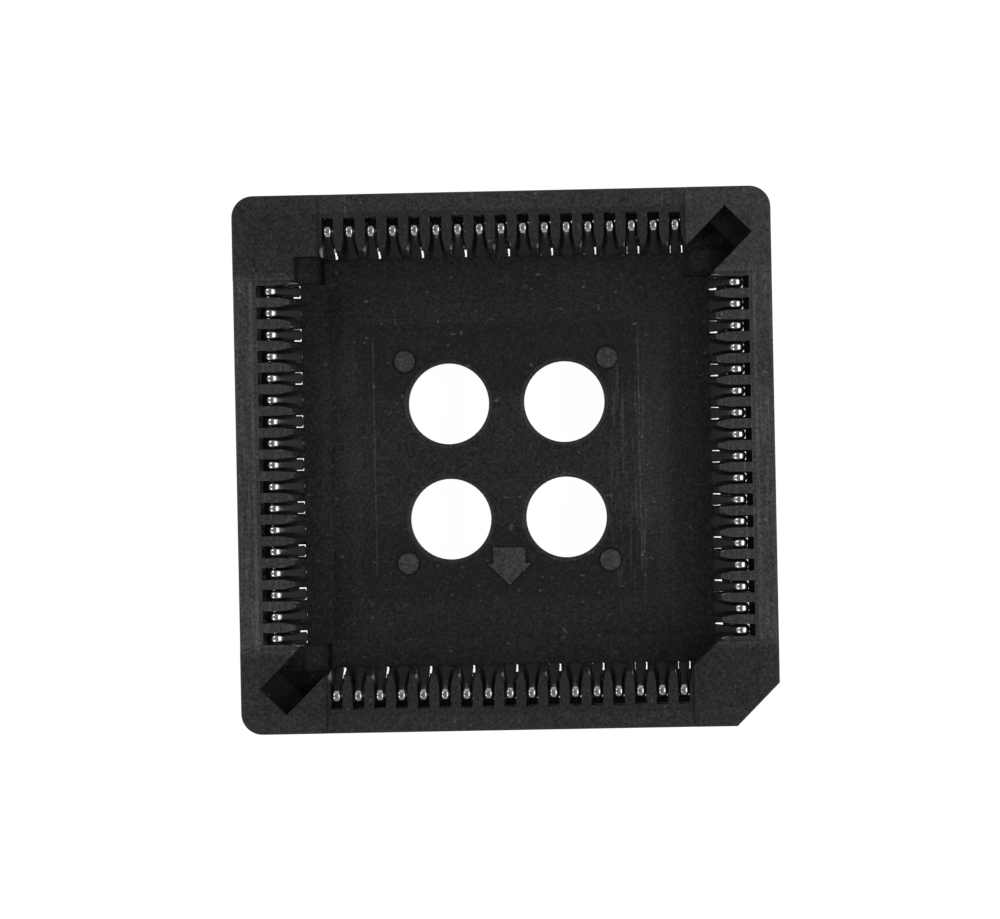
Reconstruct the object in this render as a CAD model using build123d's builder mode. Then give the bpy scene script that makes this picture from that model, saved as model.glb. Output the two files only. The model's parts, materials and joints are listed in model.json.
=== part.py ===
from build123d import *
import math
import os

# Square through-hole socket for a 68 lead chip carrier: one moulded housing and 68 stamped
# spring contacts. Millimetres. The origin is the centre of the board plane, where the stand-off
# feet rest, and +Z points up to the chip. The raised arrow to pin 1 points along -Y.

# Leads and the board's grid
lead_pitch = 1.27
leads_per_side = 17
board_grid = 2 * lead_pitch
last_lead = (leads_per_side - 1) / 2 * lead_pitch
outer_row_count = (leads_per_side + 1) // 2
inner_row_count = leads_per_side - outer_row_count
outer_tail_r = last_lead + board_grid
inner_tail_r = last_lead

# Heights above the board
standoff = 0.5
floor_thickness = 0.65
platform_rise = 0.45
housing_top = 5.0
wall_drop = 0.14
rib_drop = 0.1
trough_z = standoff + floor_thickness
platform_z = trough_z + platform_rise
wall_top = housing_top - wall_drop
rib_top = wall_top - rib_drop

# Spring of a contact
strip_thickness = 0.25
strip_width = 0.48
nose_width = 0.64
bend_radius = 0.18
arm_lean = 30.0
nose_radius = 0.28
nose_turn = 52.0
nose_proud = 0.2
tip_length = 0.5
crest_sink = 0.14
taper_length = 0.9
mid_radius = bend_radius + strip_thickness / 2
crest_radius = bend_radius + strip_thickness

# Flat run of a contact, pressed into its groove, and the tail bent down from it
tail_width = 0.42
tail_length = 3.2
tail_point = 0.3
base_recess = 0.02
jog_start = 0.55
jog_end = 0.2
base_z = standoff + base_recess
slot_floor = base_z + strip_thickness

# Clearances between the contacts and their slots
slot_side_gap = 0.11
flare_side_gap = 0.18
nose_lead_gap = 0.1
nose_side_gap = 0.04

# Well that takes the chip
corner_margin = 1.99
well_half = last_lead + corner_margin
well_index_cut = 1.3
platform_half = 7.75
slope_run = 2.65
slope_half = platform_half + slope_run
pocket_margin = 0.44
pocket_start = last_lead + pocket_margin
pocket_floor = 0.22

# Slots for the contacts and the ribs between them
crest_setback = 1.45
crest_r = well_half + crest_setback
riser_r = crest_r + mid_radius
nose_r = well_half - nose_proud
crest_z = rib_top - crest_sink - crest_radius
pit_gap = 0.37
nose_notch = 0.15
slot_end = crest_r + crest_radius + pit_gap
slot_start = well_half - nose_notch
slot_width = strip_width + 2 * slot_side_gap
flare_width = nose_width + 2 * flare_side_gap
flare_reach = 0.95
window_start = nose_r + nose_lead_gap
window_length = 0.42
window_end = window_start + window_length
window_width = nose_width + 2 * nose_side_gap
rib_lead_in = 0.3
rib_lead_depth = 1.0

# Outside of the housing
outer_wall = 1.35
outer_half = slot_end + outer_wall
corner_radius = 1.25
outer_index_cut = 2.5
edge_bevel = 0.12
band_inset = 0.25
band_start = slot_end + band_inset
block_margin = 0.64
block_start = last_lead + block_margin

# Extraction slots at two corners, measured out from the corner of the well
lift_width = 2.2
lift_reach = 1.17
lift_ledge = 1.25
lift_ledge_z = 3.3
well_corner = well_half * math.sqrt(2)

# Holes and marks in the floor
hole_diameter = 4.75
hole_spacing = 6.8
hole_bevel = 0.18
pad_diameter = 1.2
pad_spacing = 11.9
pad_groove = 0.12
pad_groove_depth = 0.1
arrow_rise = 0.16
arrow_start = 5.1
arrow_neck = 6.05
arrow_tip = 7.35
arrow_shaft = 1.9
arrow_head = 2.65

# Stand-off feet under the corners
stand_diameter = 2.0
stand_inset = 2.35


def run_points(tail_r, jog):
    # Middle line of the flat run from the heel to the bend of the tail, seen from above
    run_end = tail_r + mid_radius
    if jog == 0:
        return [(riser_r - mid_radius, 0), (run_end, 0)]
    return [
        (riser_r - mid_radius, 0),
        (well_half - jog_start, 0),
        (run_end + jog_end, jog),
        (run_end, jog),
    ]


def make_contact(tail_r, jog):
    # One stamped strip. +X is outwards from the well, and the lead it meets is at X below well_half
    lean = math.radians(arm_lean)
    base_mid = base_z + strip_thickness / 2
    nose_mid = nose_radius + strip_thickness / 2
    arm_start_r = crest_r - mid_radius * math.cos(lean)
    arm_end_r = nose_r + strip_thickness / 2 + nose_mid * (1 - math.cos(lean))
    arm_length = (arm_start_r - arm_end_r) / math.sin(lean)
    taper_start = nose_r + strip_thickness
    taper_end = taper_start + taper_length
    heel_r = riser_r + strip_thickness / 2
    with BuildPart() as contact:
        # Side view: base, heel, riser, crest, arm, nose and tip
        with BuildSketch(Plane.XZ):
            with BuildLine():
                base = Line((crest_r - crest_radius, base_mid), (riser_r - mid_radius, base_mid))
                heel = JernArc(base @ 1, base % 1, mid_radius, 90)
                riser = Line(heel @ 1, (riser_r, crest_z))
                crest = JernArc(riser @ 1, riser % 1, mid_radius, 180 - arm_lean)
                arm = PolarLine(crest @ 1, arm_length, direction=crest % 1)
                nose = JernArc(arm @ 1, arm % 1, nose_mid, nose_turn)
                PolarLine(nose @ 1, tip_length, direction=nose % 1)
            trace(line_width=strip_thickness)
        extrude(amount=nose_width / 2, both=True)
        # Seen from above the strip widens from the crest to the nose
        with BuildSketch(Plane.XY.offset(standoff)):
            with BuildLine():
                Polyline((nose_r, 0), (nose_r, nose_width / 2), (taper_start, nose_width / 2))
                Line((taper_start, nose_width / 2), (taper_end, strip_width / 2))
                Polyline((taper_end, strip_width / 2), (heel_r, strip_width / 2), (heel_r, 0))
                mirror(about=Plane.XZ)
            make_face()
        extrude(amount=housing_top, mode=Mode.INTERSECT)
        # Flat run from the heel to the tail
        with BuildSketch(Plane.XY.offset(base_z)):
            with BuildLine():
                Polyline(*run_points(tail_r, jog))
            trace(line_width=strip_width)
        extrude(amount=strip_thickness)
        # Tail, bent down through the board
        with BuildSketch(Plane.XZ.offset(-jog)):
            with BuildLine():
                shoulder = JernArc((tail_r + mid_radius, base_mid), (-1, 0), mid_radius, 90)
                Line(shoulder @ 1, (tail_r, -tail_length))
            trace(line_width=strip_thickness)
        extrude(amount=tail_width / 2, both=True)
        tip_edges = contact.faces().sort_by(Axis.Z)[0].edges().filter_by(Axis.X)
        chamfer(tip_edges, length=tail_point, length2=tail_width / 4)
    return contact.part


outer_contact = make_contact(outer_tail_r, 0)
inner_contact = make_contact(inner_tail_r, lead_pitch)


def groove_plan(tail_r, jog, groove_end):
    # Channel in the underside for one contact's run, from past its tail to the back of its heel
    run_end = tail_r + mid_radius
    heel_start = riser_r - mid_radius
    heel_end = riser_r + strip_thickness / 2
    with BuildSketch() as groove:
        with BuildLine():
            Polyline(*run_points(tail_r, jog))
        trace(line_width=strip_width)
        with Locations(((heel_start + heel_end) / 2, 0)):
            Rectangle(heel_end - heel_start, strip_width)
        with Locations(((groove_end + run_end) / 2, jog)):
            Rectangle(run_end - groove_end, tail_width)
    return groove.sketch


# Slot for one contact, seen from above: straight at the crest, flared between the rib tips
with BuildSketch() as slot_plan:
    with BuildLine():
        Line((slot_start, 0), (slot_start, flare_width / 2))
        Line((slot_start, flare_width / 2), (well_half + rib_lead_in, flare_width / 2))
        Line((well_half + rib_lead_in, flare_width / 2), (well_half + flare_reach, slot_width / 2))
        Line((well_half + flare_reach, slot_width / 2), (slot_end, slot_width / 2))
        Line((slot_end, slot_width / 2), (slot_end, 0))
        mirror(about=Plane.XZ)
    make_face()

# What is taken off the top of one wall between the corner blocks, as a section across the wall
with BuildPart() as wall_cut:
    with BuildSketch(Plane.XZ):
        with BuildLine():
            Polyline(
                (slot_start, rib_top - rib_lead_depth),
                (well_half, rib_top - rib_lead_depth),
                (well_half + rib_lead_in, rib_top),
                (band_start, rib_top),
                (band_start + rib_drop, wall_top),
                (outer_half - edge_bevel, wall_top),
                (outer_half + wall_drop, wall_top - edge_bevel - wall_drop),
                (outer_half + wall_drop, housing_top + wall_drop),
                (slot_start, housing_top + wall_drop),
                close=True,
            )
        make_face()
    extrude(amount=block_start, both=True)

index_direction = Axis((0, 0, 0), (1, -1, 0))

with BuildPart() as housing:
    # Block with three round corners and the index corner cut off
    with BuildSketch(Plane.XY.offset(standoff)):
        outline = Rectangle(2 * outer_half, 2 * outer_half)
        corners = outline.vertices().sort_by(index_direction)
        fillet(corners[:-1], radius=corner_radius)
        index_corner = vertices().sort_by(index_direction)[-1]
        chamfer(index_corner, length=outer_index_cut)
    extrude(amount=housing_top - standoff)
    chamfer(housing.faces().sort_by(Axis.Z)[-1].edges(), length=edge_bevel)
    with PolarLocations(0, 4):
        add(wall_cut.part, mode=Mode.SUBTRACT)
    # Well, down to the trough round the floor
    with BuildSketch(Plane.XY.offset(trough_z)):
        well = Rectangle(2 * well_half, 2 * well_half)
        chamfer(well.vertices().sort_by(index_direction)[-1], length=well_index_cut)
    extrude(amount=housing_top, mode=Mode.SUBTRACT)
    # Platform under the chip, sloping down to the trough
    with BuildSketch(Plane.XY.offset(trough_z)):
        Rectangle(2 * slope_half, 2 * slope_half)
    with BuildSketch(Plane.XY.offset(platform_z)):
        Rectangle(2 * platform_half, 2 * platform_half)
    loft()
    # Deep pockets in the three square corners of the trough
    pocket_mid = (pocket_start + well_half) / 2
    with BuildSketch(Plane.XY.offset(standoff + pocket_floor)):
        with Locations((-pocket_mid, pocket_mid), (pocket_mid, pocket_mid), (-pocket_mid, -pocket_mid)):
            Rectangle(well_half - pocket_start, well_half - pocket_start)
    extrude(amount=floor_thickness, mode=Mode.SUBTRACT)
    # Extraction slots, out from two corners of the well
    with BuildSketch(Plane.XY.offset(trough_z)):
        with PolarLocations(well_corner, 2, start_angle=45):
            Rectangle(2 * lift_reach, lift_width)
    extrude(amount=housing_top, mode=Mode.SUBTRACT)
    with BuildSketch(Plane.XY.offset(lift_ledge_z)):
        with PolarLocations(well_corner + lift_reach, 2, start_angle=45):
            Rectangle(2 * lift_ledge, lift_width)
    extrude(amount=housing_top, mode=Mode.SUBTRACT)
    # Four round holes through the floor
    with BuildSketch(Plane.XY.offset(standoff)):
        with GridLocations(hole_spacing, hole_spacing, 2, 2):
            Circle(hole_diameter / 2)
    extrude(amount=platform_z, mode=Mode.SUBTRACT)
    rims = housing.edges().filter_by(GeomType.CIRCLE).filter_by_position(Axis.Z, platform_z, platform_z)
    chamfer(rims, length=hole_bevel)
    # Round pads, each in a shallow ring
    with BuildSketch(Plane.XY.offset(platform_z)):
        with GridLocations(pad_spacing, pad_spacing, 2, 2):
            Circle(pad_diameter / 2 + pad_groove)
            Circle(pad_diameter / 2, mode=Mode.SUBTRACT)
    extrude(amount=-pad_groove_depth, mode=Mode.SUBTRACT)
    # Raised arrow to pin 1
    with BuildSketch(Plane.XY.offset(platform_z)):
        with BuildLine():
            Polyline(
                (-arrow_shaft / 2, -arrow_start),
                (arrow_shaft / 2, -arrow_start),
                (arrow_shaft / 2, -arrow_neck),
                (arrow_head / 2, -arrow_neck),
                (0, -arrow_tip),
                (-arrow_head / 2, -arrow_neck),
                (-arrow_shaft / 2, -arrow_neck),
                close=True,
            )
        make_face()
    extrude(amount=arrow_rise)
    # Stand-off feet
    with BuildSketch():
        with GridLocations(2 * (outer_half - stand_inset), 2 * (outer_half - stand_inset), 2, 2):
            Circle(stand_diameter / 2)
    extrude(amount=standoff)
    # Slots for the contacts
    with BuildSketch(Plane.XY.offset(slot_floor)):
        with PolarLocations(0, 4):
            with GridLocations(0, lead_pitch, 1, leads_per_side):
                add(slot_plan.sketch)
    extrude(amount=housing_top, mode=Mode.SUBTRACT)
    # Grooves in the underside for the runs, and a window under each nose of the outer row
    with BuildSketch(Plane.XY.offset(standoff)):
        with PolarLocations(0, 4):
            with GridLocations(0, board_grid, 1, outer_row_count):
                add(groove_plan(outer_tail_r, 0, window_end))
                with Locations(((window_start + window_end) / 2, 0)):
                    Rectangle(window_length, window_width)
            with GridLocations(0, board_grid, 1, inner_row_count):
                add(groove_plan(inner_tail_r, lead_pitch, inner_tail_r - strip_thickness / 2))
    extrude(amount=slot_floor - standoff, mode=Mode.SUBTRACT)


def lead_plane(side, index):
    # Side 0 is the arrow's side, and the sides and the leads run anticlockwise seen from above
    turn = math.radians(90 * side - 90)
    along = index * lead_pitch - last_lead
    origin = (-along * math.sin(turn), along * math.cos(turn), 0)
    return Plane(origin=origin, x_dir=(math.cos(turn), math.sin(turn), 0), z_dir=(0, 0, 1))


def pin_number(side, index):
    # Pin 1 is at the middle of the arrow's side
    middle = (leads_per_side - 1) // 2
    return (side * leads_per_side + index - middle) % (4 * leads_per_side) + 1


def write_part(part, name):
    part.label = name
    export_step(part, f"parts/{name}.step")


os.makedirs("parts", exist_ok=True)
write_part(housing.part, "housing")

# Outer row: every other contact from the first, each by itself
for side in range(4):
    for index in range(0, leads_per_side, 2):
        with BuildPart() as contact:
            with Locations(lead_plane(side, index)):
                add(outer_contact)
        write_part(contact.part, f"contact_{pin_number(side, index):02d}")

# Inner row: the contacts between those, two to a file
for side in range(4):
    for index in range(1, leads_per_side, 4):
        pair = [i for i in (index, index + 2) if i < leads_per_side]
        with BuildPart() as contacts:
            with Locations(*[lead_plane(side, i) for i in pair]):
                add(inner_contact)
        pins = "_".join(f"{pin_number(side, i):02d}" for i in pair)
        write_part(contacts.part, f"contacts_{pins}")
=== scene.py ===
import bpy
import bmesh
import json
import math
from mathutils import Euler, Matrix, Vector

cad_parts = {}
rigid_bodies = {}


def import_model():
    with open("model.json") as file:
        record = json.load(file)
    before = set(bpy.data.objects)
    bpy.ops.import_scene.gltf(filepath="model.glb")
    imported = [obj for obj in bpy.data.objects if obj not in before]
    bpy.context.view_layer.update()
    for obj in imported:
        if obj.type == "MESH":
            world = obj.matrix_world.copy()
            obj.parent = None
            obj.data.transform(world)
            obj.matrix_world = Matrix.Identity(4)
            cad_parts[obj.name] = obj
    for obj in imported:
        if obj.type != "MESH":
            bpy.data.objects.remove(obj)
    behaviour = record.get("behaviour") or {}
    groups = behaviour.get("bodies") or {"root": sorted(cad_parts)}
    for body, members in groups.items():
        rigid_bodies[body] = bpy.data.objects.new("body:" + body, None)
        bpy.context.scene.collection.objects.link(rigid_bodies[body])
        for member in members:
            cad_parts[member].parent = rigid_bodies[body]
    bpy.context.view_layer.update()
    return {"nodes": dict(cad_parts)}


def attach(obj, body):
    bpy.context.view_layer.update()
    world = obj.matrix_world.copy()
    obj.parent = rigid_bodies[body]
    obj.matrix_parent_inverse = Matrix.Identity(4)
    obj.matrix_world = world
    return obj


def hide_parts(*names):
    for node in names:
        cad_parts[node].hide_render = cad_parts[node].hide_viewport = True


# Socket for a 68 lead chip carrier, seen from straight above: a black moulded housing with
# tin plated spring contacts standing in its slots. Metres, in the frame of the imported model.

MM = 0.001

for leftover in list(bpy.data.objects):
    bpy.data.objects.remove(leftover)
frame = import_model()


# Camera and stage

CAMERA_PLACE = (14.304 * MM, 0.887 * MM, 399.744 * MM)
CAMERA_TURN = (-0.1607, 2.1173, -1.1468)
CAMERA_LENS = 243.7
BOARD_DROP = 3.2 * MM
FLOOR_HALF = 1.2


def aim_camera():
    data = bpy.data.cameras.new("camera")
    data.sensor_width = 36
    data.lens = CAMERA_LENS
    data.clip_start = 0.01
    data.clip_end = 10
    camera = bpy.data.objects.new("camera", data)
    camera.location = CAMERA_PLACE
    camera.rotation_euler = Euler([math.radians(angle) for angle in CAMERA_TURN])
    bpy.context.scene.collection.objects.link(camera)
    bpy.context.scene.camera = camera


def polar(distance, lean, bearing):
    # A place at a distance from the socket, leaning off the vertical towards a bearing from +X
    lean, bearing = math.radians(lean), math.radians(bearing)
    flat = distance * math.sin(lean)
    return Vector((flat * math.cos(bearing), flat * math.sin(bearing), distance * math.cos(lean)))


def hang_lamp(name, distance, lean, bearing, size, brightness):
    # A soft rectangle of light that faces the socket. Brightness is what a mirror would show of it
    data = bpy.data.lights.new(name, "AREA")
    data.shape = "RECTANGLE"
    data.size, data.size_y = size
    data.energy = brightness * math.pi * size[0] * size[1]
    lamp = bpy.data.objects.new(name, data)
    lamp.location = polar(distance, lean, bearing)
    across = Vector((0, 0, 1)).cross(lamp.location).normalized()
    back = lamp.location.normalized()
    turn = Matrix((across, back.cross(across), back)).transposed()
    lamp.rotation_euler = turn.to_euler()
    lamp.visible_camera = False
    bpy.context.scene.collection.objects.link(lamp)


def light_world():
    # A dim ceiling over bright walls. The camera sees white everywhere
    world = bpy.data.worlds.new("studio")
    world.use_nodes = True
    bpy.context.scene.world = world
    tree = world.node_tree
    back = tree.nodes["Background"]
    place = tree.nodes.new("ShaderNodeTexCoord")
    split = tree.nodes.new("ShaderNodeSeparateXYZ")
    ramp = tree.nodes.new("ShaderNodeMapRange")
    ramp.inputs["From Min"].default_value = 0.05
    ramp.inputs["From Max"].default_value = 0.95
    ramp.inputs["To Min"].default_value = 0.9
    ramp.inputs["To Max"].default_value = 0.22
    seen = tree.nodes.new("ShaderNodeLightPath")
    brightest = tree.nodes.new("ShaderNodeMath")
    brightest.operation = "MAXIMUM"
    tree.links.new(place.outputs["Generated"], split.inputs[0])
    tree.links.new(split.outputs["Z"], ramp.inputs["Value"])
    tree.links.new(ramp.outputs[0], brightest.inputs[0])
    tree.links.new(seen.outputs["Is Camera Ray"], brightest.inputs[1])
    tree.links.new(brightest.outputs[0], back.inputs["Strength"])
    back.inputs["Color"].default_value = (1, 1, 1, 1)


aim_camera()
light_world()
hang_lamp("softbox", 0.30, 42, 0, (0.30, 0.20), 2.6)
hang_lamp("lamp_front", 0.30, 52.7, 212.8, (0.10, 0.10), 5.0)
hang_lamp("lamp_back", 0.30, 52.7, 147.2, (0.10, 0.10), 5.0)


# Materials


class Finish:
    """A material built node by node, patterned on the part's own coordinates in millimetres"""

    def __init__(self, name):
        self.material = bpy.data.materials.new(name)
        self.material.use_nodes = True
        self.tree = self.material.node_tree
        self.shader = self.tree.nodes["Principled BSDF"]
        self.output = self.tree.nodes["Material Output"]
        place = self.tree.nodes.new("ShaderNodeTexCoord")
        scale = self.tree.nodes.new("ShaderNodeMapping")
        scale.inputs["Scale"].default_value = (1 / MM, 1 / MM, 1 / MM)
        self.tree.links.new(place.outputs["Object"], scale.inputs["Vector"])
        self.place = scale.outputs["Vector"]

    def feed(self, node, socket, value):
        if isinstance(value, bpy.types.NodeSocket):
            self.tree.links.new(value, node.inputs[socket])
        else:
            node.inputs[socket].default_value = value

    def stretch(self, factors):
        node = self.tree.nodes.new("ShaderNodeMapping")
        self.feed(node, "Vector", self.place)
        node.inputs["Scale"].default_value = factors
        return node.outputs["Vector"]

    def noise(self, scale, detail=2.0, roughness=0.5, place=None):
        node = self.tree.nodes.new("ShaderNodeTexNoise")
        self.feed(node, "Vector", place or self.place)
        self.feed(node, "Scale", scale)
        self.feed(node, "Detail", detail)
        self.feed(node, "Roughness", roughness)
        return node.outputs["Fac"]

    def math(self, operation, first, second=0.0):
        node = self.tree.nodes.new("ShaderNodeMath")
        node.operation = operation
        self.feed(node, 0, first)
        self.feed(node, 1, second)
        return node.outputs[0]

    def remap(self, value, low, high, to_low, to_high):
        node = self.tree.nodes.new("ShaderNodeMapRange")
        self.feed(node, "Value", value)
        for socket, number in zip(("From Min", "From Max", "To Min", "To Max"), (low, high, to_low, to_high)):
            self.feed(node, socket, number)
        return node.outputs[0]

    def total(self, start, *shares):
        for mask, amount in shares:
            start = self.math("ADD", start, self.math("MULTIPLY", mask, amount))
        return start

    def inside(self, centre, size, turn=0, soft=0.04):
        # 1 inside a box, fading to 0 over a soft rim
        node = self.tree.nodes.new("ShaderNodeMapping")
        node.vector_type = "TEXTURE"
        self.feed(node, "Vector", self.place)
        node.inputs["Location"].default_value = centre
        node.inputs["Rotation"].default_value = (0, 0, math.radians(turn))
        node.inputs["Scale"].default_value = [side / 2 for side in size]
        split = self.tree.nodes.new("ShaderNodeSeparateXYZ")
        self.feed(split, 0, node.outputs[0])
        reach = [self.math("ABSOLUTE", split.outputs[axis]) for axis in "XYZ"]
        furthest = self.math("MAXIMUM", self.math("MAXIMUM", reach[0], reach[1]), reach[2])
        return self.remap(furthest, 1, 1 + soft, 1, 0)

    def near(self, offset, radius, soft=0.04):
        # 1 inside four circles, one in each quarter, as far in X as in Y, fading to 0 over a soft rim
        split = self.tree.nodes.new("ShaderNodeSeparateXYZ")
        self.feed(split, 0, self.place)
        across = self.math("SUBTRACT", self.math("ABSOLUTE", split.outputs["X"]), offset)
        along = self.math("SUBTRACT", self.math("ABSOLUTE", split.outputs["Y"]), offset)
        squares = self.math("ADD", self.math("POWER", across, 2), self.math("POWER", along, 2))
        return self.remap(self.math("SQRT", squares), radius, radius + soft, 1, 0)

    def blend(self, factor, first, second):
        node = self.tree.nodes.new("ShaderNodeMix")
        node.data_type = "RGBA"
        self.feed(node, "Factor", factor)
        self.feed(node, "A", first)
        self.feed(node, "B", second)
        return next(out for out in node.outputs if out.type == "RGBA")

    def bump(self, height, distance):
        node = self.tree.nodes.new("ShaderNodeBump")
        self.feed(node, "Height", height)
        self.feed(node, "Distance", distance)
        self.feed(node, "Strength", 1.0)
        return node.outputs["Normal"]


WELL_HALF = 12.15
BLOCK_START = 10.8
OUTER_HALF = 15.75
WALL_LOW = 4.3
WALL_TOP = 5.0
WALL_Z = (WALL_LOW + WALL_TOP) / 2
WALL_BAND = WALL_TOP - WALL_LOW
SIDE_WALL_X = (WELL_HALF + OUTER_HALF) / 2
SIDE_WALL = (OUTER_HALF - WELL_HALF, 2 * BLOCK_START, WALL_BAND)
WHOLE = (2 * OUTER_HALF, 2 * OUTER_HALF)
STEP = (0.2, 2 * BLOCK_START, 0.1)
PLATFORM_END = (15.6, 3.6, 0.3)
CRISP = 0.04

# Base tone of the black, and what each place or mark adds to it; several places add painted light or painted
# shade
WELL_TONE = 0.007
SIDE_SHEEN_TONE = 0.013
PAD_TONE = 0.029
RIM_HIGHLIGHT_TONE = 0.014
POCKET_LIGHT_TONE = 0.02
STREAK_AND_SHEEN_TONE = 0.03
SPECK_TONE = 0.04
SCRATCH_AND_HIGHLIGHT_TONE = 0.02
GRAIN_TONE = 0.0105
TONE_AND_PAINTED_LIGHT_BOXES = (
    # Centre, size, softness of the rim, tone
    ((0, 0, WALL_Z), (*WHOLE, WALL_BAND), CRISP, 0.006),  # walls and corners
    ((0, 0, WALL_Z), (29.2, 29.2, WALL_BAND), 0.01, -0.003),  # ribs, darker as painted shade
    ((0, -6.2, 1.8), (2.7, 2.3, 0.1), CRISP, 0.026),  # arrow
    ((0, 15.2, WALL_Z), (2 * BLOCK_START, 1.1, WALL_BAND), CRISP, 0.005),  # band of the far wall, lighter as painted light
    ((13.3, 13.3, WALL_Z), (5, 5, WALL_BAND), CRISP, 0.011),  # far right corner, lighter as painted light
    ((-14.7, 0, 4.81), STEP, CRISP, 0.02),  # step of the left wall, a painted highlight along its edge
    ((14.7, 0, 4.81), STEP, CRISP, 0.02),  # step of the right wall, a painted highlight along its edge
    ((-9.9, 0, 1), (1.6, 9, 3), 0.9, 0.008),  # left of the trough, lighter as painted light
    ((-8.3, 0, 1.4), (0.8, 9, 3), 0.8, 0.002),  # left slope, lighter as painted light
    ((8.6, 1, 1.4), (1.2, 8, 3), 1, 0.008),  # right slope, lighter as painted light
    ((0, -6, 1.6), PLATFORM_END, 0.3, -0.005),  # near end of the platform
    ((0, 6, 1.6), PLATFORM_END, 0.3, -0.005),  # far end of the platform
    ((0, 0, 3.3), (*WHOLE, 0.3), CRISP, -0.006),  # ledges of the extraction slots, darker as painted shade
)
SCRATCHES_AND_EDGE_HIGHLIGHTS = (
    # X, Y, Z, turn, length
    # The first two lines are painted highlights along the edges of the platform; the rest are scratches
    (-7.8, 0.3, 1.6, 0, 13.6),
    (7.8, 0.3, 1.6, 0, 13.6),
    (-9.08, 15.09, 4.86, 2, 1.2),
    (9.44, 15.13, 4.86, 1, 0.94),
    (0.49, -15.19, 4.86, 28, 0.73),
    (-1.05, 8.17, 1.5, -35, 0.5),
)
SCRATCH_AND_HIGHLIGHT_WIDTH = 0.07
SCRATCH_AND_HIGHLIGHT_DEPTH = 0.3
PAD_PLACE = 5.95
PAD_RADIUS = 0.6
HOLE_PLACE = 3.4
RIM_HIGHLIGHT_RADIUS = 2.56
POCKET_PLACE = 11.2
POCKET_RADIUS = 1.3
POCKET_BOX = (24.2, 24.2, 1.1)


def moulded_plastic():
    # Black nylon: grainy, cloudy, with a painted sheen that makes two of the walls paler, standing in for the
    # light caught by the marks where the mould was drawn along them
    finish = Finish("black_nylon")
    cloudy = finish.noise(0.3, 3)
    grain = finish.noise(6.5, 3, 0.7)
    # Painted sheen: the left and right walls are made paler in colour
    left = finish.inside((-SIDE_WALL_X, 0, WALL_Z), SIDE_WALL)
    right = finish.inside((SIDE_WALL_X, 0, WALL_Z), SIDE_WALL)
    sides = finish.math("ADD", left, right)
    # Mould streaks, painted lighter as a sheen on the side walls and on the right of the platform
    sheen_on_platform_right = finish.inside((7.1, -1, 1.6), (1.7, 12, 0.4), soft=0.3)
    streaks = finish.remap(finish.noise(1, 3, 0.6, finish.stretch((7, 0.25, 1))), 0.5, 0.75, 0, 1)
    streaks = finish.math("MULTIPLY", streaks, finish.math("MAXIMUM", sides, sheen_on_platform_right))
    specks = finish.remap(finish.noise(3, 2, 0.5), 0.68, 0.73, 0, 1)
    pads = finish.near(PAD_PLACE, PAD_RADIUS)
    # Painted highlight: a lighter ring on the chamfered rims of the four holes
    rim_highlights = finish.near(HOLE_PLACE, RIM_HIGHLIGHT_RADIUS)
    # Painted light: the floors of the deep corner pockets are lightened, lifting their shade
    below = finish.inside((0, 0, 0.5), POCKET_BOX)
    painted_light_in_pockets = finish.math("MULTIPLY", finish.near(POCKET_PLACE, POCKET_RADIUS), below)
    tone = finish.total(
        WELL_TONE, (sides, SIDE_SHEEN_TONE), (pads, PAD_TONE), (rim_highlights, RIM_HIGHLIGHT_TONE), (painted_light_in_pockets, POCKET_LIGHT_TONE),
        (streaks, STREAK_AND_SHEEN_TONE), (specks, SPECK_TONE))
    # The arrow's tone and the painted light and shade, box by box
    for centre, size, soft, amount in TONE_AND_PAINTED_LIGHT_BOXES:
        tone = finish.total(tone, (finish.inside(centre, size, soft=soft), amount))
    # Scratches, and painted highlights along the platform's edges
    for x, y, z, turn, length in SCRATCHES_AND_EDGE_HIGHLIGHTS:
        line = finish.inside((x, y, z), (SCRATCH_AND_HIGHLIGHT_WIDTH, length, SCRATCH_AND_HIGHLIGHT_DEPTH), turn)
        tone = finish.total(tone, (line, SCRATCH_AND_HIGHLIGHT_TONE))
    tone = finish.math("MULTIPLY", tone, finish.remap(cloudy, 0.3, 0.7, 0.8, 1.2))
    tone = finish.math("MULTIPLY", tone, finish.remap(grain, 0.32, 0.68, 0.6, 1.45))
    tone = finish.total(tone, (finish.remap(grain, 0.32, 0.68, -1, 1.1), GRAIN_TONE))
    finish.feed(finish.shader, "Base Color", finish.blend(tone, (0, 0, 0, 1), (1, 1, 1, 1)))
    finish.feed(finish.shader, "Roughness", finish.remap(grain, 0.25, 0.75, 0.6, 0.75))
    finish.feed(finish.shader, "Specular IOR Level", 0.25)
    finish.feed(finish.shader, "Normal", finish.bump(grain, 0.035 * MM))
    return finish.material


def slot_plastic():
    # The same nylon where polished pins of the mould left the slots smooth
    finish = Finish("black_nylon_in_slots")
    cloudy = finish.noise(2, 3)
    colour = finish.blend(cloudy, (0.008, 0.008, 0.008, 1), (0.02, 0.02, 0.02, 1))
    finish.feed(finish.shader, "Base Color", colour)
    finish.feed(finish.shader, "Roughness", finish.remap(cloudy, 0.3, 0.7, 0.3, 0.4))
    finish.feed(finish.shader, "Specular IOR Level", 0.8)
    finish.feed(finish.shader, "Normal", finish.bump(cloudy, 0.003 * MM))
    return finish.material


def tin_plate():
    finish = Finish("tin_plate")
    patches = finish.noise(4, 3)
    fine = finish.noise(30, 3, 0.6)
    colour = finish.blend(finish.remap(patches, 0.3, 0.7, 0, 1), (0.40, 0.40, 0.39, 1), (0.52, 0.52, 0.51, 1))
    finish.feed(finish.shader, "Base Color", colour)
    finish.feed(finish.shader, "Metallic", 1.0)
    finish.feed(finish.shader, "Roughness", finish.remap(fine, 0.3, 0.7, 0.17, 0.27))
    finish.feed(finish.shader, "Normal", finish.bump(fine, 0.001 * MM))
    return finish.material


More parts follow.
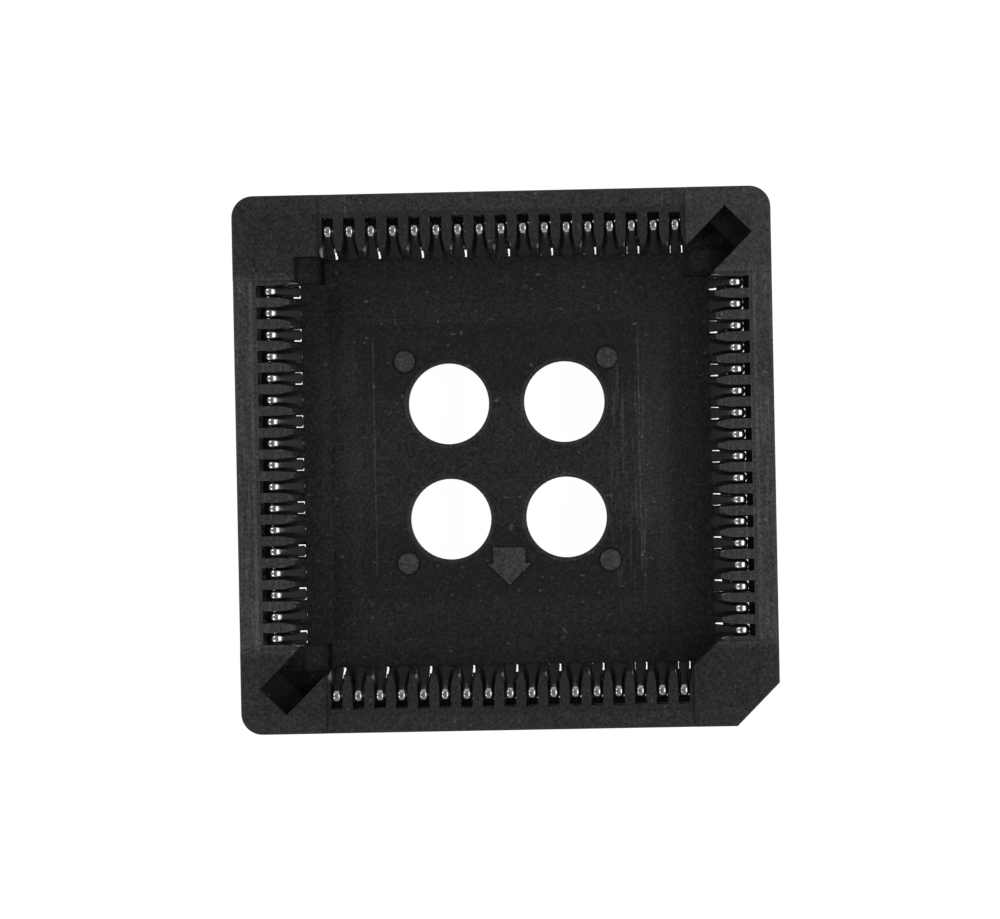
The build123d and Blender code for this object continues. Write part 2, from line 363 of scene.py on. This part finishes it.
def white_floor():
    # Plain white to the camera and in reflections, with a part of the real shading left for the shadow
    finish = Finish("floor")
    tree = finish.tree
    finish.feed(finish.shader, "Base Color", (0.8, 0.8, 0.8, 1))
    finish.feed(finish.shader, "Roughness", 0.9)
    glow = tree.nodes.new("ShaderNodeEmission")
    finish.feed(glow, "Strength", 0.975)
    shaded = tree.nodes.new("ShaderNodeBsdfDiffuse")
    finish.feed(shaded, "Color", (0.11, 0.11, 0.11, 1))
    white = tree.nodes.new("ShaderNodeAddShader")
    finish.feed(white, 0, glow.outputs[0])
    finish.feed(white, 1, shaded.outputs[0])
    seen = tree.nodes.new("ShaderNodeLightPath")
    straight = finish.math("MAXIMUM", seen.outputs["Is Camera Ray"], seen.outputs["Is Glossy Ray"])
    straight = finish.math("MAXIMUM", straight, seen.outputs["Is Transmission Ray"])
    mix = tree.nodes.new("ShaderNodeMixShader")
    finish.feed(mix, 0, straight)
    finish.feed(mix, 1, finish.shader.outputs[0])
    finish.feed(mix, 2, white.outputs[0])
    finish.feed(finish.output, "Surface", mix.outputs[0])
    return finish.material


PLASTIC = moulded_plastic()
SLOT_PLASTIC = slot_plastic()
TIN = tin_plate()


# Meshes


def add_piece(bm, name, material):
    mesh = bpy.data.meshes.new(name)
    bm.to_mesh(mesh)
    bm.free()
    mesh.materials.append(material)
    piece = bpy.data.objects.new(name, mesh)
    bpy.context.scene.collection.objects.link(piece)
    return piece


def lay_floor():
    bm = bmesh.new()
    bmesh.ops.create_grid(bm, x_segments=1, y_segments=1, size=FLOOR_HALF)
    bmesh.ops.translate(bm, verts=bm.verts, vec=(0, 0, -BOARD_DROP))
    floor = add_piece(bm, "floor", white_floor())


lay_floor()


# Housing: the moulded form of the frame, with its edges rounded as the mould leaves them

MOULD_RADIUS = 0.035 * MM
SHARP = math.radians(30)
SHARP_INSIDE = math.radians(50)
UNDERSIDE_TOP = 1.1 * MM
FLAT_AREA = 5 * MM * MM
SLOT_START = 12.2
SLOT_END = 14.42
SLOT_FLOOR = 0.75
RIB_TOP = 4.7


def part_of_curve(edge):
    # Between two narrow faces of a round corner or a hole, and not at the rim of a large flat one
    if edge.calc_face_angle(math.pi) > SHARP:
        return False
    return all(face.calc_area() < FLAT_AREA for face in edge.link_faces)


def worth_rounding(edge):
    # A sharp edge that shows from above, away from the little steps where a radius has no room
    if edge.calc_face_angle(0) < (SHARP if edge.is_convex else SHARP_INSIDE):
        return False
    if min(vert.co.z for vert in edge.verts) < UNDERSIDE_TOP:
        return False
    return all(other.calc_length() > 2 * MOULD_RADIUS for vert in edge.verts for other in vert.link_edges)


def lines_a_slot(face):
    # A side or the floor of a contact's slot, below the tops of the ribs
    middle = face.calc_center_median() / MM
    across, along = sorted((abs(middle.x), abs(middle.y)))
    return across < BLOCK_START and SLOT_START < along < SLOT_END and SLOT_FLOOR < middle.z < RIB_TOP


def round_housing():
    bm = bmesh.new()
    bm.from_mesh(frame["nodes"]["housing"].data)
    bmesh.ops.remove_doubles(bm, verts=bm.verts, dist=0.001 * MM)
    bmesh.ops.dissolve_limit(bm, angle_limit=math.radians(1), verts=bm.verts, edges=bm.edges)
    weight = bm.edges.layers.float.new("bevel_weight_edge")
    for edge in bm.edges:
        edge[weight] = 1.0 if worth_rounding(edge) else 0.0
        edge.smooth = edge[weight] > 0 or part_of_curve(edge)
    for face in bm.faces:
        face.smooth = True
        face.material_index = 1 if lines_a_slot(face) else 0
    piece = add_piece(bm, "housing_moulding", PLASTIC)
    piece.data.materials.append(SLOT_PLASTIC)
    edge = piece.modifiers.new("mould_radius", "BEVEL")
    edge.width = MOULD_RADIUS
    edge.segments = 2
    edge.limit_method = "WEIGHT"
    edge.use_clamp_overlap = False
    flats = piece.modifiers.new("true_flats", "WEIGHTED_NORMAL")
    flats.keep_sharp = True
    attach(piece, "root")
    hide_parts("housing")


round_housing()


# Contacts: one stamped strip, from the tail along its flat run, over the crest and down the sprung arm

LEAD_PITCH = 1.27 * MM
LEADS_PER_SIDE = 17
LAST_LEAD = (LEADS_PER_SIDE - 1) / 2 * LEAD_PITCH
OUTER_TAIL_R = 12.7 * MM
INNER_TAIL_R = 10.16 * MM
STRIP_THICKNESS = 0.25 * MM
STRIP_WIDTH = 0.48 * MM
NOSE_WIDTH = 0.64 * MM
STRIP_EDGE = 0.115 * MM
CROWN = 1.4
BASE_MID = 0.645 * MM
RISER_R = 13.905 * MM
CREST_Z = 4.19 * MM
BEND = 0.305 * MM
NOSE_BEND = 0.405 * MM
ARM_RUNS = ((0.47 * MM, 1), (1.80 * MM, NOSE_WIDTH / STRIP_WIDTH), (0.14 * MM, 1))
TIP_LENGTH = 0.5 * MM
TIP_TAPER = 0.75
CREST_TURN = 150
NOSE_TURN = 52
JOG_OUTER = 11.60 * MM
JOG_INNER = 10.67 * MM
JOG_BEND = 0.20 * MM
TAIL_WIDTH = 0.42 * MM
TAIL_LENGTH = 3.2 * MM
TAIL_POINT = 0.3 * MM
TIP_WIDTH = TAIL_WIDTH / 2
NECK = 0.03 * MM
BEND_STEP = 10


class Strip:
    """A strip that grows from a section, straight on or round a bend"""

    def __init__(self, bm, place, width, thickness, edge):
        # It starts upwards, with its thickness along X and its width along Y
        self.bm = bm
        made = bmesh.ops.create_grid(bm, x_segments=1, y_segments=1, size=0.5)["verts"]
        bmesh.ops.scale(bm, vec=(thickness, width / CROWN, 1), verts=made)
        made = bmesh.ops.bevel(
            bm, geom=made, offset=edge, offset_type="OFFSET", segments=4, profile=0.5,
            affect="VERTICES", material=-1)
        face = max(made["verts"][0].link_faces, key=lambda part: len(part.verts))
        self.ring = list(face.edges)
        self.place = Vector(place)
        self.heading = Vector((0, 0, 1))
        bmesh.ops.scale(bm, vec=(1, CROWN, 1), verts=self.ring_verts())
        bmesh.ops.translate(bm, verts=self.ring_verts(), vec=place)

    def ring_verts(self):
        return list({vert for edge in self.ring for vert in edge.verts})

    def ahead(self, length, widen=1.0):
        made = bmesh.ops.extrude_edge_only(self.bm, edges=self.ring)["geom"]
        verts = {item for item in made if isinstance(item, bmesh.types.BMVert)}
        edges = [item for item in made if isinstance(item, bmesh.types.BMEdge)]
        self.ring = [edge for edge in edges if verts.issuperset(edge.verts)]
        bmesh.ops.translate(self.bm, verts=list(verts), vec=self.heading * length)
        self.place += self.heading * length
        bmesh.ops.scale(
            self.bm, verts=list(verts), vec=(1, widen, 1), space=Matrix.Translation(-self.place))

    def bend(self, angle, radius, axis):
        # Turns by angle degrees about the axis, anticlockwise
        axis = Vector(axis)
        centre = self.place + axis.cross(self.heading) * math.copysign(radius, angle)
        turn = math.radians(angle)
        made = bmesh.ops.spin(
            self.bm, geom=self.ring + self.ring_verts(), cent=centre, axis=axis, angle=turn,
            steps=max(2, round(abs(angle) / BEND_STEP)))["geom_last"]
        self.ring = [item for item in made if isinstance(item, bmesh.types.BMEdge)]
        spun = Matrix.Rotation(turn, 3, axis)
        self.place = centre + spun @ (self.place - centre)
        self.heading = spun @ self.heading

    def close(self):
        bmesh.ops.contextual_create(self.bm, geom=self.ring)


def stamp_contact(tail_r, jog):
    # Tail up from its tip, flat run, heel, riser, crest, arm, nose and tip
    bm = bmesh.new()
    strip = Strip(bm, (tail_r, jog, -TAIL_LENGTH), TAIL_WIDTH, STRIP_THICKNESS, STRIP_EDGE)
    bmesh.ops.scale(
        bm, verts=strip.ring_verts(), vec=(1, TIP_WIDTH / TAIL_WIDTH, 1),
        space=Matrix.Translation(-strip.place))
    strip.ahead(TAIL_POINT, TAIL_WIDTH / TIP_WIDTH)
    strip.ahead(BASE_MID - BEND - strip.place.z)
    strip.bend(90, BEND, (0, 1, 0))
    strip.ahead(NECK, STRIP_WIDTH / TAIL_WIDTH)
    if jog:
        lean = math.degrees(math.atan2(jog, JOG_OUTER - JOG_INNER))
        saved = JOG_BEND * math.tan(math.radians(lean) / 2)
        slant = math.hypot(jog, JOG_OUTER - JOG_INNER)
        strip.ahead(JOG_INNER - saved - strip.place.x)
        strip.bend(-lean, JOG_BEND, (0, 0, 1))
        strip.ahead(slant - 2 * saved)
        strip.bend(lean, JOG_BEND, (0, 0, 1))
    strip.ahead(RISER_R - BEND - strip.place.x)
    strip.bend(-90, BEND, (0, 1, 0))
    strip.ahead(CREST_Z - strip.place.z)
    strip.bend(-CREST_TURN, BEND, (0, 1, 0))
    for length, widen in ARM_RUNS:
        strip.ahead(length, widen)
    strip.bend(-NOSE_TURN, NOSE_BEND, (0, 1, 0))
    strip.ahead(TIP_LENGTH, TIP_TAPER)
    strip.close()
    bmesh.ops.recalc_face_normals(bm, faces=bm.faces)
    for face in bm.faces:
        face.smooth = True
    for edge in bm.edges:
        edge.smooth = edge.calc_face_angle(math.pi) < SHARP
    return bm


def place_lead(side, index):
    # Side 0 is the arrow's, and sides and leads run anticlockwise seen from above
    turn = Matrix.Rotation(math.radians(90 * side - 90), 4, "Z")
    return turn @ Matrix.Translation((0, index * LEAD_PITCH - LAST_LEAD, 0))


def pin_number(side, index):
    # Pin 1 is at the middle of the arrow's side
    return (side * LEADS_PER_SIDE + index - LEADS_PER_SIDE // 2) % (4 * LEADS_PER_SIDE) + 1


def set_contacts(stamping, side, indexes):
    bm = bmesh.new()
    for index in indexes:
        mesh = bpy.data.meshes.new("copy")
        stamping.to_mesh(mesh)
        mesh.transform(place_lead(side, index))
        bm.from_mesh(mesh)
        bpy.data.meshes.remove(mesh)
    pins = "_".join(f"{pin_number(side, index):02d}" for index in indexes)
    one = len(indexes) == 1
    piece = add_piece(bm, ("spring_" if one else "springs_") + pins, TIN)
    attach(piece, "root")
    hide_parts(("contact_" if one else "contacts_") + pins)


outer_stamping = stamp_contact(OUTER_TAIL_R, 0)
inner_stamping = stamp_contact(INNER_TAIL_R, LEAD_PITCH)
for side in range(4):
    for index in range(0, LEADS_PER_SIDE, 2):
        set_contacts(outer_stamping, side, [index])
    for index in range(1, LEADS_PER_SIDE, 4):
        set_contacts(inner_stamping, side, [i for i in (index, index + 2) if i < LEADS_PER_SIDE])

bpy.context.scene.view_settings.view_transform = "Standard"
